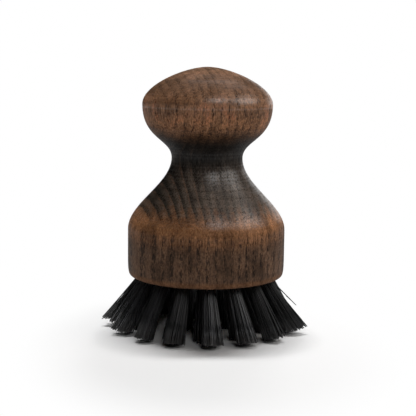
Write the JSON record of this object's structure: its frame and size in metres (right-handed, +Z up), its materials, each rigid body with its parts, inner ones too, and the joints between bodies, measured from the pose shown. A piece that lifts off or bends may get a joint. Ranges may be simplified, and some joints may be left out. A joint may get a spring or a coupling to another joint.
{
  "type": "palm brush",
  "caption": "Round palm brush: a turned dark wood block with a waist and a knob for the palm, set with rings of outward-leaning black bristle tufts for scrubbing.",
  "frame": {"origin": "on the floor that the bristles stand on, on the block's axis", "axes": "+Z up along the block's axis, towards the knob; -Y the front, where an outer tuft stands"},
  "size_m": [0.077, 0.077, 0.0995],
  "materials": {
    "dark_wood": "dark, waxed, satin",
    "bristle": "black filament",
    "anchor_wire": "flat wire"
  },
  "bodies": {
    "root": {"turned_block": "dark_wood", "outer_tuft_01": "bristle", "outer_tuft_02": "bristle", "outer_tuft_03": "bristle", "outer_tuft_04": "bristle", "outer_tuft_05": "bristle", "outer_tuft_06": "bristle", "outer_tuft_07": "bristle", "outer_tuft_08": "bristle", "outer_tuft_09": "bristle", "outer_tuft_10": "bristle", "outer_tuft_11": "bristle", "outer_tuft_12": "bristle", "outer_tuft_13": "bristle", "outer_tuft_14": "bristle", "outer_tuft_15": "bristle", "outer_tuft_16": "bristle", "outer_anchors": "anchor_wire", "middle_tuft_01": "bristle", "middle_tuft_02": "bristle", "middle_tuft_03": "bristle", "middle_tuft_04": "bristle", "middle_tuft_05": "bristle", "middle_tuft_06": "bristle", "middle_tuft_07": "bristle", "middle_tuft_08": "bristle", "middle_tuft_09": "bristle", "middle_tuft_10": "bristle", "middle_tuft_11": "bristle", "middle_anchors": "anchor_wire", "inner_tuft_01": "bristle", "inner_tuft_02": "bristle", "inner_tuft_03": "bristle", "inner_tuft_04": "bristle", "inner_tuft_05": "bristle", "inner_tuft_06": "bristle", "inner_anchors": "anchor_wire"}
  },
  "joints": []
}
